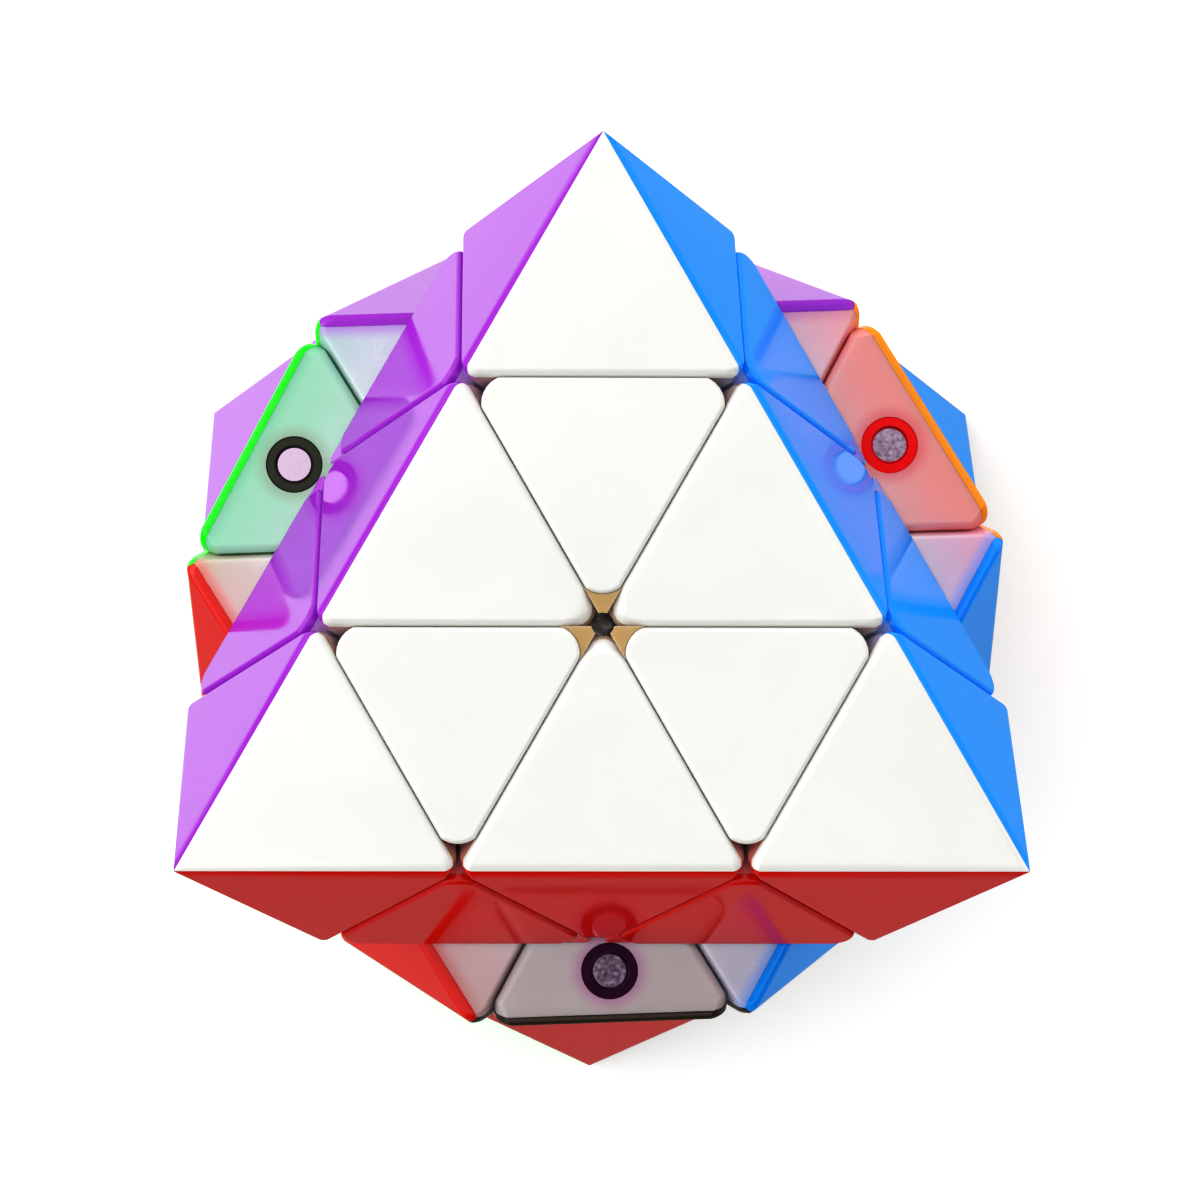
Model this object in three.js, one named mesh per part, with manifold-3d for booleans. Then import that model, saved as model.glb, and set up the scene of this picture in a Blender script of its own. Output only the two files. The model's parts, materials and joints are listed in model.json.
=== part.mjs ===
// A face-turning octahedron: a twisty puzzle with eight triangular faces of nine triangles each.
// Two pairs of parallel planes per turning axis cut it into 6 corners, 12 edges and 24 centre triangles.
// Inside, a core with eight arms holds eight spring-loaded face caps on screws. The caps hold the feet of
// the edges, the edges hold the feet of the triangles, and the triangles hold the feet of the corners.
// The middle slice stands part-turned between the white layer on top and the yellow layer below.
// Units are millimetres, +Z is up, and the origin is the centre of the bottom face.

import * as THREE from 'three';
import { ConvexGeometry } from 'three/addons/geometries/ConvexGeometry.js';
import { mergeVertices } from 'three/addons/utils/BufferGeometryUtils.js';
import Module from 'manifold-3d';

const wasm = await Module();
wasm.setup();

// Driving dimensions of the octahedron
const EDGE_LENGTH = 90;
const FACE_DISTANCE = EDGE_LENGTH * Math.sqrt(6) / 6;
const TRIANGLES_PER_EDGE = 3;
const SLICE_TURN_DEG = -58;
const VERTEX_AZIMUTHS_DEG = [90, 210, 330];

// Running gaps, between flat cuts and between the spherical steps of the mechanism
const FLAT_GAP = 0.4;
const STEP_GAP = 0.4;

// Tolerances: points that are one point, planes that hold one point, and faces that are one flat face
const POINT_TOLERANCE = 1e-4;
const PLANE_TOLERANCE = 1e-6;
const FLATNESS = 1e-3;

// Depth of the cutting planes from the centre, in each zone of the mechanism
const OUTER_CUT = FACE_DISTANCE / TRIANGLES_PER_EDGE;
const MIDDLE_CUT = 10.3;
const INNER_CUT = 7.25;

// Spherical zones of the mechanism, from the outside in
const FOOT_TOP_RADIUS = 25;
const CAP_TOP_RADIUS = 20;
const EDGE_FOOT_TOP_RADIUS = 14.6;
const EDGE_FOOT_BASE_RADIUS = 11;
const OUTSIDE_RADIUS = EDGE_LENGTH;
const STEP_OVERLAP = 0.2;

// Core, screws and the holes for them. A distance is measured from the centre of the puzzle.
const CORE_RADIUS = 10;
const ARM_RADIUS = 2.3;
const ARM_TOP_DISTANCE = 14;
const ROUND_SEGMENTS = 12;
const QUARTERS = 4;
const SCREW_RADIUS = 1;
const SCREW_HOLE_RADIUS = 1.3;
const SCREW_TIP_DISTANCE = 6;
const SCREW_HOLE_END_DISTANCE = 5.5;
const HEAD_RADIUS = 2.1;
const HEAD_BASE_DISTANCE = 19.3;
const HEAD_THICKNESS = 1.8;
const HEAD_CHAMFER = 0.3;
const CROSS_WIDTH = 0.6;
const CROSS_LENGTH = 2.4;
const CROSS_DEPTH = 1;
const SPRING_POCKET_RADIUS = 2.6;
const SPRING_POCKET_BASE_DISTANCE = 16.2;
const FACE_HOLE_RADIUS = 1.6;

// Each turning axis, as the signs of its direction along the three lines between opposite vertices,
// with the colours of the faces at its two ends
const AXES = [
  { signs: [1, 1, 1], ends: { '1': 'white', '-1': 'yellow' } },
  { signs: [1, -1, -1], ends: { '1': 'orange', '-1': 'red' } },
  { signs: [-1, 1, -1], ends: { '1': 'green', '-1': 'blue' } },
  { signs: [-1, -1, 1], ends: { '1': 'black', '-1': 'purple' } },
];
for (const axis of AXES) axis.direction = new THREE.Vector3(...axis.signs).normalize();
const UPWARDS = AXES[0].direction;

const PLASTIC = { roughness: 0.18, metalness: 0 };
const FINISHES = {
  white: { color: 0xf2f0ea, ...PLASTIC },
  yellow: { color: 0xf5d90a, ...PLASTIC },
  orange: { color: 0xff8a00, ...PLASTIC },
  red: { color: 0xd8261c, ...PLASTIC },
  green: { color: 0x12d81e, ...PLASTIC },
  blue: { color: 0x1680f5, ...PLASTIC },
  black: { color: 0x2c2622, ...PLASTIC },
  purple: { color: 0xa33ae8, ...PLASTIC },
  core: { color: 0xb8a48c, roughness: 0.4, metalness: 0 },
  steel: { color: 0xb9bcc0, roughness: 0.3, metalness: 1 },
};

// Solids

function toSolid(geometry) {
  geometry.deleteAttribute('normal');
  geometry.deleteAttribute('uv');
  const merged = mergeVertices(geometry, POINT_TOLERANCE);
  return new wasm.Manifold(new wasm.Mesh({
    numProp: 3,
    vertProperties: new Float32Array(merged.attributes.position.array),
    triVerts: new Uint32Array(merged.index.array),
  }));
}

// Joins and cuts leave flat faces in many triangles, so those that lie in one plane are merged first.
function toGeometry(solid) {
  const mesh = solid.asOriginal().simplify(FLATNESS).getMesh();
  const geometry = new THREE.BufferGeometry();
  geometry.setAttribute('position', new THREE.BufferAttribute(new Float32Array(mesh.vertProperties), 3));
  geometry.setIndex(new THREE.BufferAttribute(new Uint32Array(mesh.triVerts), 1));
  geometry.computeVertexNormals();
  return geometry;
}

// A half-space is a direction and the furthest distance along it that the solid reaches.
function halfSpacesOf(layers, cut) {
  const halfSpaces = [];
  AXES.forEach(({ direction }, index) => {
    for (const side of [1, -1]) {
      const towards = direction.clone().multiplyScalar(side);
      if (layers[index] === side) {
        halfSpaces.push({ direction: towards, reach: FACE_DISTANCE });
      } else if (layers[index] === 0) {
        halfSpaces.push({ direction: towards, reach: cut - FLAT_GAP / 2 });
      } else {
        halfSpaces.push({ direction: towards, reach: -cut - FLAT_GAP / 2 });
      }
    }
  });
  return halfSpaces;
}

// The vertices of a cell are the points where three of its planes meet inside all the others.
function cellCorners(halfSpaces) {
  const corners = [];
  const count = halfSpaces.length;
  for (let a = 0; a < count; a += 1) {
    for (let b = a + 1; b < count; b += 1) {
      for (let c = b + 1; c < count; c += 1) {
        const point = meetingPoint(halfSpaces[a], halfSpaces[b], halfSpaces[c]);
        if (point && halfSpaces.every((each) => each.direction.dot(point) <= each.reach + PLANE_TOLERANCE)) {
          corners.push(point);
        }
      }
    }
  }
  return corners;
}

function meetingPoint(first, second, third) {
  const across = new THREE.Vector3().crossVectors(second.direction, third.direction);
  const volume = first.direction.dot(across);
  if (Math.abs(volume) < PLANE_TOLERANCE) return null;
  return across.multiplyScalar(first.reach)
    .addScaledVector(new THREE.Vector3().crossVectors(third.direction, first.direction), second.reach)
    .addScaledVector(new THREE.Vector3().crossVectors(first.direction, second.direction), third.reach)
    .divideScalar(volume);
}

// The part of the octahedron that lies in the given layer of each axis: 1 outer, 0 middle, -1 opposite.
function cell(layers, cut) {
  return toSolid(new ConvexGeometry(cellCorners(halfSpacesOf(layers, cut))));
}

const BALLS = new Map();

// Balls have their poles on the axis that the layers turn about, and about one segment per millimetre
// of radius in whole quarters, so that the two sides of each spherical step have the same segments.
function ball(radius) {
  if (!BALLS.has(radius)) {
    const segments = QUARTERS * Math.round(radius / QUARTERS);
    const geometry = new THREE.SphereGeometry(radius, segments, segments / 2);
    geometry.applyQuaternion(new THREE.Quaternion().setFromUnitVectors(new THREE.Vector3(0, 1, 0), UPWARDS));
    BALLS.set(radius, toSolid(geometry));
  }
  return BALLS.get(radius);
}

function inShell(solid, innerRadius, outerRadius) {
  const hollowed = solid.subtract(ball(innerRadius));
  return outerRadius < OUTSIDE_RADIUS ? hollowed.intersect(ball(outerRadius)) : hollowed;
}

// A round bar along a direction, between two distances from the centre
function bar(radius, start, end, direction) {
  const geometry = new THREE.CylinderGeometry(radius, radius, end - start, ROUND_SEGMENTS);
  geometry.translate(0, (start + end) / 2, 0);
  geometry.applyQuaternion(new THREE.Quaternion().setFromUnitVectors(new THREE.Vector3(0, 1, 0), direction));
  return toSolid(geometry);
}

function faceDirections() {
  return AXES.flatMap(({ direction }) => [direction.clone(), direction.clone().negate()]);
}

// Outer pieces: a stack of zones, each a slice of its own cell, joined by a neck across each step

const FOOT_ZONE = { cut: MIDDLE_CUT, inner: CAP_TOP_RADIUS + STEP_GAP, outer: FOOT_TOP_RADIUS };
const EDGE_NECK_ZONE = { cut: MIDDLE_CUT, inner: EDGE_FOOT_TOP_RADIUS + STEP_GAP, outer: FOOT_TOP_RADIUS };
const EDGE_FOOT_ZONE = { cut: INNER_CUT, inner: EDGE_FOOT_BASE_RADIUS, outer: EDGE_FOOT_TOP_RADIUS };
const VISIBLE_ZONE = { cut: OUTER_CUT, inner: FOOT_TOP_RADIUS + STEP_GAP, outer: OUTSIDE_RADIUS };

const ZONES = {
  corner: [FOOT_ZONE, VISIBLE_ZONE],
  triangle: [FOOT_ZONE, VISIBLE_ZONE],
  edge: [EDGE_FOOT_ZONE, EDGE_NECK_ZONE, VISIBLE_ZONE],
};

function neckBetween(layers, lower, upper) {
  const shared = cell(layers, lower.cut).intersect(cell(layers, upper.cut));
  return inShell(shared, lower.outer - STEP_OVERLAP, upper.inner + STEP_OVERLAP);
}

function outerPiece(kind, layers) {
  const zones = ZONES[kind];
  let piece = inShell(cell(layers, zones[0].cut), zones[0].inner, zones[0].outer);
  for (let index = 1; index < zones.length; index += 1) {
    piece = piece.add(inShell(cell(layers, zones[index].cut), zones[index].inner, zones[index].outer));
    piece = piece.add(neckBetween(layers, zones[index - 1], zones[index]));
  }
  for (const direction of faceDirections()) {
    piece = piece.subtract(bar(FACE_HOLE_RADIUS, FOOT_TOP_RADIUS, OUTSIDE_RADIUS, direction));
  }
  return piece;
}

// Inner pieces

function coreSpider() {
  let core = ball(CORE_RADIUS);
  for (const direction of faceDirections()) {
    core = core.add(bar(ARM_RADIUS, 0, ARM_TOP_DISTANCE, direction));
  }
  for (const direction of faceDirections()) {
    core = core.subtract(bar(SCREW_HOLE_RADIUS, SCREW_HOLE_END_DISTANCE, OUTSIDE_RADIUS, direction));
  }
  return core;
}

function faceCap(layers, direction) {
  return inShell(cell(layers, MIDDLE_CUT), EDGE_FOOT_TOP_RADIUS + STEP_GAP, CAP_TOP_RADIUS)
    .subtract(bar(SCREW_HOLE_RADIUS, 0, OUTSIDE_RADIUS, direction))
    .subtract(bar(SPRING_POCKET_RADIUS, SPRING_POCKET_BASE_DISTANCE, OUTSIDE_RADIUS, direction));
}

function screw(direction) {
  const top = HEAD_BASE_DISTANCE + HEAD_THICKNESS;
  const profile = [
    [0, SCREW_TIP_DISTANCE],
    [SCREW_RADIUS, SCREW_TIP_DISTANCE + SCREW_RADIUS],
    [SCREW_RADIUS, HEAD_BASE_DISTANCE],
    [HEAD_RADIUS, HEAD_BASE_DISTANCE],
    [HEAD_RADIUS, top - HEAD_CHAMFER],
    [HEAD_RADIUS - HEAD_CHAMFER, top],
    [0, top],
  ];
  const points = profile.map((at) => new THREE.Vector2(...at));
  let solid = toSolid(new THREE.LatheGeometry(points, ROUND_SEGMENTS));
  for (const [width, depth] of [[CROSS_WIDTH, CROSS_LENGTH], [CROSS_LENGTH, CROSS_WIDTH]]) {
    const groove = new THREE.BoxGeometry(width, 2 * CROSS_DEPTH, depth);
    groove.translate(0, top, 0);
    solid = solid.subtract(toSolid(groove));
  }
  const geometry = toGeometry(solid);
  geometry.applyQuaternion(new THREE.Quaternion().setFromUnitVectors(new THREE.Vector3(0, 1, 0), direction));
  return geometry;
}

// Every combination of layers that holds a piece, with its kind, name and colour

function layerCombinations() {
  const sides = [1, 0, -1];
  return sides.flatMap((a) => sides.flatMap((b) => sides.flatMap((c) => sides.map((d) => [a, b, c, d]))));
}

function axesInLayer(layers, side) {
  return layers.flatMap((layer, index) => (layer === side ? [index] : []));
}

// The kinds of piece, by how many axes a piece lies off the middle of, and how far their sides are from even
const KINDS = {
  '4,0': 'corner',
  '2,0': 'edge',
  '3,1': 'triangle',
  '1,1': 'face_cap',
  '0,0': 'core_spider',
};

function kindOf(layers) {
  const outer = layers.filter((layer) => layer !== 0).length;
  const balance = Math.abs(layers.reduce((sum, layer) => sum + layer, 0));
  return KINDS[`${outer},${balance}`] ?? null;
}

const colourAt = (index, side) => AXES[index].ends[side];

// A corner or an edge shows one face for each outer layer that it lies in. A triangle shows one face, and
// is named after that face and the face across the vertex that it points at.
function coloursOf(kind, layers) {
  if (kind === 'triangle') {
    const side = axesInLayer(layers, 1).length === 1 ? 1 : -1;
    return [colourAt(axesInLayer(layers, side)[0], side), colourAt(axesInLayer(layers, 0)[0], side)];
  }
  return layers.flatMap((layer, index) => (layer === 0 ? [] : [colourAt(index, layer)]));
}

function nameOf(kind, colours) {
  if (kind === 'triangle') return `triangle_${colours[0]}_towards_${colours[1]}`;
  return [kind, ...colours].join('_');
}

function namedMesh(name, geometry, finish) {
  const mesh = new THREE.Mesh(geometry, new THREE.MeshStandardMaterial(FINISHES[finish]));
  mesh.name = name;
  return mesh;
}

// Assembly: three groups stacked on the upward axis, of which the middle one is part-turned

function buildPuzzle() {
  const topLayer = new THREE.Group();
  const middleSlice = new THREE.Group();
  const bottomLayer = new THREE.Group();
  const groups = { '1': topLayer, '0': middleSlice, '-1': bottomLayer };
  middleSlice.quaternion.setFromAxisAngle(UPWARDS, THREE.MathUtils.degToRad(SLICE_TURN_DEG));

  for (const layers of layerCombinations()) {
    const kind = kindOf(layers);
    if (kind === null) continue;
    const colours = coloursOf(kind, layers);
    const name = nameOf(kind, colours);
    const group = groups[layers[0]];
    if (kind === 'core_spider') {
      group.add(namedMesh(name, toGeometry(coreSpider()), 'core'));
    } else if (kind === 'face_cap') {
      const index = layers.findIndex((layer) => layer !== 0);
      const direction = AXES[index].direction.clone().multiplyScalar(layers[index]);
      group.add(namedMesh(name, toGeometry(faceCap(layers, direction)), 'core'));
      middleSlice.add(namedMesh(`screw_${colours[0]}`, screw(direction), 'steel'));
    } else {
      group.add(namedMesh(name, toGeometry(outerPiece(kind, layers)), colours[0]));
    }
  }

  const puzzle = new THREE.Group();
  puzzle.add(topLayer, middleSlice, bottomLayer);
  puzzle.quaternion.setFromRotationMatrix(standingFrame());
  puzzle.position.z = FACE_DISTANCE;
  return puzzle;
}

// The three lines between opposite vertices, turned so that the white face points up
// and its first vertex points along +Y
function standingFrame() {
  const vertexLines = VERTEX_AZIMUTHS_DEG.map((degrees) => {
    const angle = THREE.MathUtils.degToRad(degrees);
    const flat = Math.sqrt(2 / 3);
    return new THREE.Vector3(flat * Math.cos(angle), flat * Math.sin(angle), Math.sqrt(1 / 3));
  });
  return new THREE.Matrix4().makeBasis(...vertexLines);
}

export default buildPuzzle();
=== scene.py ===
"""A face-turning octahedron puzzle, standing on its yellow face with its middle slice part-turned.

Every piece is modelled once in the lattice frame, whose axes join opposite vertices of the octahedron,
in millimetres. Copies are then turned to their places and scaled to metres.
A piece is a milky base with a spherical foot inside and one coloured shell for each face that it shows.
"""

import json
import math
from itertools import permutations, product

import bmesh
import bpy
from mathutils import Euler, Matrix, Vector

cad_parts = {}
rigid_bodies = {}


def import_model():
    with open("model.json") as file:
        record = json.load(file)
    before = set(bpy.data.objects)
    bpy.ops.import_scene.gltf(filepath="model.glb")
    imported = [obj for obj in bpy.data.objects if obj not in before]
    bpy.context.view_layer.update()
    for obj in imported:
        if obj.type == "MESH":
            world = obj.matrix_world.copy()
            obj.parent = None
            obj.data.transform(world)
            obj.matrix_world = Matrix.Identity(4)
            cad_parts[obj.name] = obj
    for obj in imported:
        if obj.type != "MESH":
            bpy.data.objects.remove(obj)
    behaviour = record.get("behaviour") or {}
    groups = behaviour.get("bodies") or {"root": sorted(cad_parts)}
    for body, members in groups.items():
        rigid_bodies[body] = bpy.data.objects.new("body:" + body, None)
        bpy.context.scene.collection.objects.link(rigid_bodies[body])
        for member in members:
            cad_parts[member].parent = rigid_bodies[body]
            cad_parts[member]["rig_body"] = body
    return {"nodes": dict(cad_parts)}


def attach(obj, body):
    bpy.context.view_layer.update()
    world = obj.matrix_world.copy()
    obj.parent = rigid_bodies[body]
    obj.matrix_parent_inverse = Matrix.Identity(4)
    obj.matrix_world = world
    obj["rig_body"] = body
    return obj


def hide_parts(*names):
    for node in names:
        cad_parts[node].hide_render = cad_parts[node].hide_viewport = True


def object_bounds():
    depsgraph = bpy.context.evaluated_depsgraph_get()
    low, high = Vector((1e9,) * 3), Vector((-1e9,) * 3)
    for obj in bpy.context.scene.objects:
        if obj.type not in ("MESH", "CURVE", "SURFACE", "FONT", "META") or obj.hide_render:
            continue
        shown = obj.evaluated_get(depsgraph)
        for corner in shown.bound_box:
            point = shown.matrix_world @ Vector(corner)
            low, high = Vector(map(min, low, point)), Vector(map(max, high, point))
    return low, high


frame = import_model()
cad_low, cad_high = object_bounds()

MM = 0.001

# Puzzle: it stands between two faces, each at FACE_DISTANCE from its centre
FACE_DISTANCE = (cad_high.z - cad_low.z) / 2 / MM
VERTEX_RADIUS = FACE_DISTANCE * math.sqrt(3)
SLICE_TURN_DEG = -58
VERTEX_AZIMUTHS_DEG = (90, 210, 330)

# Modelling: points closer than TOLERANCE are one, and solids are cut from a block larger than the puzzle
TOLERANCE = 0.0005
BLOCK_SIZE = 4 * VERTEX_RADIUS
ROUND_STEPS = 48
SHARP_ANGLE_DEG = 38
NORMAL_WEIGHT = 100

# Running gaps, and the mechanism's zones: how far from the centre each zone reaches, and how far out the
# planes lie that part the layers in it
FLAT_GAP = 0.4
OUTER_GAP = 0.15
STEP_GAP = 0.4
STEP_OVERLAP = 0.2
OUTER_CUT = FACE_DISTANCE / 3
MIDDLE_CUT = 10.3
INNER_CUT = 7.25
FOOT_TOP_RADIUS = 25
CAP_TOP_RADIUS = 20
EDGE_FOOT_TOP_RADIUS = 14.4
EDGE_FOOT_BASE_RADIUS = 11
FACE_HOLE_RADIUS = 1.2

# Rounding
BORDER_RADIUS = 0.9
TRIANGLE_BORDER_RADIUS = 0.6
RIDGE_RADIUS = 2.4
WALL_RADIUS = 0.5
TRIANGLE_WALL_RADIUS = 1.25
TRIANGLE_INNER_RADIUS = 0.35
TRIANGLE_CORNER_RADIUS = 3.0
TIP_RADIUS = 1.6
FACE_CENTRE_TIP_RADIUS = 2.4
VERTEX_TIP_RADIUS = 1.0
FILLET_STEPS = 4
CORNER_STEPS = 9
# The planes that round a tip stand in rings: their tilt from the tip's axis in degrees, and their number
TIP_RINGS = ((16, 8), (31, 12))
# A tip this near to a vertex or to the centre of a face has a radius of its own
NEAR_VERTEX = 2
NEAR_FACE_CENTRE = 1

# Coloured shells. The milky inner tip of a triangle stands up beside its shell to INNER_TIP_DEPTH.
SHELL_DEPTH = 1.1
SEAM = 0.05
INNER_TIP_DEPTH = 0.3

# Magnets in their rings
MAGNET_RADIUS = 2
MAGNET_HEIGHT = 2
MAGNET_CHAMFER = 0.2
MAGNET_SINK = 0.06
RING_RADIUS = 3.05
RING_HEIGHT = 2.2
RING_CHAMFER = 0.12
RING_SINK = 0.05
MAGNET_OFFSET = 2.76
POCKET_CLEARANCE = 0.9
FIT = 0.03

# Screws, springs and washers. Distances are from the centre of the puzzle along the screw.
SCREW_RADIUS = 1
SCREW_TIP_DISTANCE = 6
THREAD_PITCH = 0.6
THREAD_DEPTH = 0.15
THREAD_END_DISTANCE = 14
HEAD_RADIUS = 2.1
HEAD_BASE_DISTANCE = 19.3
HEAD_THICKNESS = 1.8
HEAD_ROUNDING = 0.5
HEAD_STEPS = 4
CROSS_WIDTH = 0.6
CROSS_LENGTH = 2.4
CROSS_DEPTH = 1
WASHER_RADIUS = 2.4
WASHER_HOLE_RADIUS = 1.2
WASHER_THICKNESS = 0.3
SPRING_BASE_DISTANCE = 16.25
SPRING_COIL_RADIUS = 1.95
SPRING_WIRE_RADIUS = 0.22
SPRING_TURNS = 4
SPRING_TURN_STEPS = 32
SPRING_WIRE_SIDES = 10

# The four axes of the puzzle in the lattice frame, with the colour of the face at each end
AXES = [
    {"signs": (1, 1, 1), "ends": {1: "white", -1: "yellow"}},
    {"signs": (1, -1, -1), "ends": {1: "orange", -1: "red"}},
    {"signs": (-1, 1, -1), "ends": {1: "green", -1: "blue"}},
    {"signs": (-1, -1, 1), "ends": {1: "black", -1: "purple"}},
]
DIRECTIONS = [Vector(axis["signs"]).normalized() for axis in AXES]
UPWARDS = DIRECTIONS[0]

# A piece has a layer on each axis: 1 or -1 is the outer layer at that end, and 0 is the slice between.
# These are the pieces that are modelled, one of each kind.
MODEL_LAYERS = {
    "corner": (1, 1, -1, -1),
    "edge": (1, -1, 0, 0),
    "triangle": (1, -1, -1, 0),
}

# Linear colours of the shells and of the magnet rings
SHELL_COLOURS = {
    "white": (0.78, 0.78, 0.755),
    "yellow": (0.82, 0.58, 0.01),
    "orange": (0.95, 0.27, 0.0),
    "red": (0.63, 0.009, 0.002),
    "green": (0.0, 0.80, 0.005),
    "blue": (0.0, 0.29, 1.0),
    "black": (0.045, 0.030, 0.016),
    "purple": (0.285, 0.022, 0.475),
}
RING_COLOURS = {
    "white": (0.03, 0.025, 0.03),
    "yellow": (0.03, 0.025, 0.03),
    "orange": (0.95, 0.0, 0.004),
    "red": (0.25, 0.02, 0.01),
    "green": (0.025, 0.030, 0.012),
    "blue": (0.01, 0.02, 0.10),
    "black": (0.045, 0.004, 0.035),
    "purple": (0.05, 0.0, 0.05),
}
# Light and shade painted into the milky plastic behind each shell: the coloured light that a shell lets
# through, painted shade behind the black shell and warm painted shade in the gaps and recesses behind the
# white shell.
# Each has its strength all through the piece and its further strength close to the shell. The inner tip
# beside a triangle's shell takes it fully.
PAINTED_LIGHT_AND_SHADE = {
    "white": ((0.48, 0.31, 0.16), 0.45, 0.7),
    "yellow": ((0.85, 0.70, 0.20), 0.60, 0.5),
    "orange": ((1.0, 0.33, 0.28), 1.0, 0.5),
    "red": ((0.85, 0.08, 0.08), 0.45, 0.6),
    "green": ((0.19, 0.65, 0.34), 0.78, 0.6),
    "blue": ((0.12, 0.32, 0.95), 0.25, 0.6),
    "black": ((0.40, 0.36, 0.36), 0.80, 0.3),
    "purple": ((0.45, 0.10, 0.70), 0.25, 0.6),
}
# How far the painted light and shade reach through a piece, in millimetres, and a share of its strength
PAINTED_LIGHT_REACHES = {"corner": (22, 1.0), "edge": (14, 0.75), "triangle": (22, 1.0)}
PAINTED_LIGHT_EDGE = 1.6
# The glow of each ring in the milky plastic round it: its brightness, how far it reaches and its strength
HALO_BASE = 0.1
HALO_GAIN = 8
HALO_REACH = 1.8
HALO_STRENGTH = 0.45
HALO_COLOURS = {
    name: tuple(min(1.0, HALO_BASE + HALO_GAIN * channel) for channel in tint)
    for name, tint in RING_COLOURS.items()
}

# Finishes. A noise is (feature size in millimetres, detail, distortion). Tones are the shares of a colour
# between which a noise moves it. A span is the part of a noise that moves the roughness between its two
# levels. Bump depths are in millimetres.
SHELL_FINISH = {
    "flow": (14, 3, 0.6),
    "tones": (0.94, 1.04),
    "haze": (5, 4),
    "haze_span": (0.3, 0.75),
    "roughness": (0.07, 0.13),
    "ior": 1.5,
    "waves": (9, 1),
    "wave_depth": 0.02,
}
MILKY_FINISH = {
    "colour": (0.78, 0.78, 0.82),
    "cloud": (6, 3, 0.8),
    "tones": (0.9, 1.12),
    "cloud_span": (0.3, 0.8),
    "roughness": (0.16, 0.26),
    "ior": 1.49,
    "subsurface": 0.5,
    "subsurface_radius": (1.0, 0.8, 0.7),
    "subsurface_mm": 2.5,
    "grain": (3, 2),
    "grain_depth": 0.02,
}
# White streaks in the edges' milky plastic. They follow a level of one noise, and show where a second
# noise is strong.
STREAKS = {
    "colour": (1.0, 1.0, 1.0),
    "flow": (6, 2.5, 2.0),
    "rise": (0.47, 0.52),
    "fall": (0.52, 0.57),
    "patches": (3.5, 2),
    "patch_span": (0.48, 0.68),
    "strength": 0.45,
}
METAL_FINISH = {
    "detail": 6,
    "tones": (0.8, 1.1),
    "grain_span": (0.3, 0.7),
    "grain_depth": 0.003,
}
METALS = {
    "magnet_nickel_plate": {"colour": (0.70, 0.54, 0.72), "roughness": (0.08, 0.18), "grain_mm": 0.5},
    "screw_steel_plate": {"colour": (0.56, 0.57, 0.58), "roughness": (0.2, 0.35), "grain_mm": 0.8},
    "spring_steel_wire": {"colour": (0.50, 0.50, 0.50), "roughness": (0.15, 0.3), "grain_mm": 0.6},
}
CORE_FINISH = {
    "colour": (0.42, 0.36, 0.29),
    "cloud": (8, 3),
    "tones": (0.9, 1.1),
    "cloud_span": (0.2, 0.8),
    "roughness": (0.35, 0.5),
    "grain": (0.4, 2),
    "grain_depth": 0.01,
}
PAPER_FINISH = {
    "mottle": (80, 2),
    "tones": ((0.90, 0.90, 0.90), (0.92, 0.92, 0.92)),
    "roughness": 0.9,
}

# Camera, in millimetres and degrees, looking almost straight down
CAMERA_PLACE = (-11.05, -5.60, 597.2)
CAMERA_TILT_DEG = (0.886, -1.177, 0.076)
CAMERA_LENS = 151.4
CAMERA_SENSOR = 36

# Light: the radiance of the tent and of the patches in it. They are the dark space in front, a lamp behind
# its left side and the dark opening over the camera. Each has a direction and a soft edge, as two angles
# from it. Gloss doesn't show the floor, but a dim ground below the tent, with a brighter patch behind the
# puzzle's left side where light bounces.
TENT_COLOUR = (1.0, 0.995, 0.985, 1)
TENT_LIGHT = 1.35
FRONT = (0.34, -0.94, 0.0)
FRONT_EDGE_DEG = (45, 78)
FRONT_LIGHT = 0.05
LAMP = (-0.90, 0.10, 0.42)
LAMP_EDGE_DEG = (20, 38)
LAMP_LIGHT = 1.4
OPENING = (0.075, -0.050, 0.996)
OPENING_EDGE_DEG = (4.5, 8.5)
OPENING_LIGHT = 0.1
GROUND = (0.0, 0.0, -1.0)
GROUND_EDGE_DEG = (84, 91)
GROUND_LIGHT = 0.4
BOUNCE = (-0.324, 0.539, -0.778)
BOUNCE_EDGE_DEG = (20, 50)
BOUNCE_LIGHT = 0.95

# Key light, in millimetres and watts
KEY_PLACE = (-300, 330, 480)
KEY_SIZE = 420
KEY_WATTS = 0.5

# Floor: its own glow, how far it reaches in metres, and how many millimetres it lies below the puzzle
FLOOR_GLOW = 0.3
FLOOR_REACH = 3.0
FLOOR_DROP = 0.05

# Points on the curve of display tones, which is one curve for all colours
COMBINED_CURVE = 3
TONE_POINTS = ((0.13, 0.055), (0.32, 0.25))


# ---- Solids ----


def cut_away(solid, direction, reach):
    """Removes what lies further than reach along direction, and closes the hole with one flat face."""
    made = bmesh.ops.bisect_plane(
        solid,
        geom=solid.verts[:] + solid.edges[:] + solid.faces[:],
        dist=TOLERANCE,
        plane_co=direction * reach,
        plane_no=direction,
        clear_outer=True,
    )
    rim = [item for item in made["geom_cut"] if isinstance(item, bmesh.types.BMEdge)]
    if rim:
        bmesh.ops.edgeloop_fill(solid, edges=rim)


def solid_between(half_spaces):
    """The convex solid that lies in all the half-spaces."""
    solid = bmesh.new()
    bmesh.ops.create_cube(solid, size=BLOCK_SIZE)
    for direction, reach in half_spaces:
        cut_away(solid, direction, reach)
    return solid


def finished_mesh(solid, name):
    """The mesh of a solid with its close points joined and its faces turned outwards. The solid is freed."""
    bmesh.ops.remove_doubles(solid, verts=solid.verts[:], dist=TOLERANCE)
    bmesh.ops.recalc_face_normals(solid, faces=solid.faces[:])
    mesh = bpy.data.meshes.new(name)
    solid.to_mesh(mesh)
    solid.free()
    return mesh


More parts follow.
